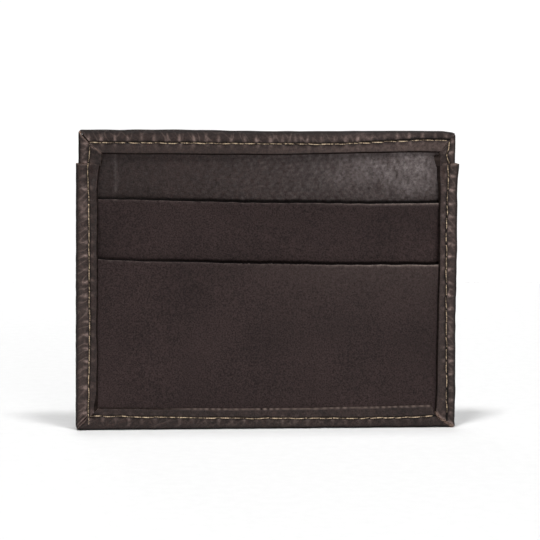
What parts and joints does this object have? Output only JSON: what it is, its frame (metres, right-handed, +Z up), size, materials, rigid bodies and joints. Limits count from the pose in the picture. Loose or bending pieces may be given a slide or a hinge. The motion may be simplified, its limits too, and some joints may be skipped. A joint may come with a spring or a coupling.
{
  "type": "card wallet",
  "caption": "Slim leather card wallet: open-topped centre pocket between two lined halves, card pockets outside, folded and stitched edge strips.",
  "frame": {"origin": "middle of the bottom edge, on which it stands", "axes": "+X along the width (to the right), -Y out of the front face, +Z up to the open top"},
  "size_m": [0.1, 0.01, 0.0778],
  "materials": {
    "facing_leather": "satin",
    "pocket_leather": "matte",
    "binding_leather": "satin",
    "lining_fabric": "matte",
    "thread": "matte"
  },
  "bodies": {
    "wallet": {"front_lining": "lining_fabric", "front_facing": "facing_leather", "front_upper_pocket": "pocket_leather", "front_foot_seam": "thread", "front_lower_pocket": "pocket_leather", "back_lining": "lining_fabric", "back_facing": "facing_leather", "back_upper_pocket": "pocket_leather", "back_foot_seam": "thread", "back_lower_pocket": "pocket_leather", "left_side_binding": "binding_leather", "bottom_binding": "binding_leather", "right_side_binding": "binding_leather", "rim_needle_thread": "thread", "rim_bobbin_thread": "thread"},
    "front_lip_body": {"front_lip_lining": "lining_fabric", "front_lip_facing": "facing_leather", "front_top_binding": "binding_leather", "front_left_ear_binding": "binding_leather", "front_right_ear_binding": "binding_leather", "front_lip_needle_thread": "thread", "front_lip_bobbin_thread": "thread"},
    "back_lip_body": {"back_lip_lining": "lining_fabric", "back_lip_facing": "facing_leather", "back_top_binding": "binding_leather", "back_left_ear_binding": "binding_leather", "back_right_ear_binding": "binding_leather", "back_lip_needle_thread": "thread", "back_lip_bobbin_thread": "thread"}
  },
  "joints": [
    {"name": "front_lip", "type": "hinge", "parent": "wallet", "child": "front_lip_body", "pos_m": [0, -0.00128, 0.0696], "axis": [1, 0, 0], "range_deg": [0, 20], "stiffness_Nm_per_rad": 0.02},
    {"name": "back_lip", "type": "hinge", "parent": "wallet", "child": "back_lip_body", "pos_m": [0, 0.00128, 0.0696], "axis": [-1, 0, 0], "range_deg": [0, 20], "stiffness_Nm_per_rad": 0.02}
  ]
}
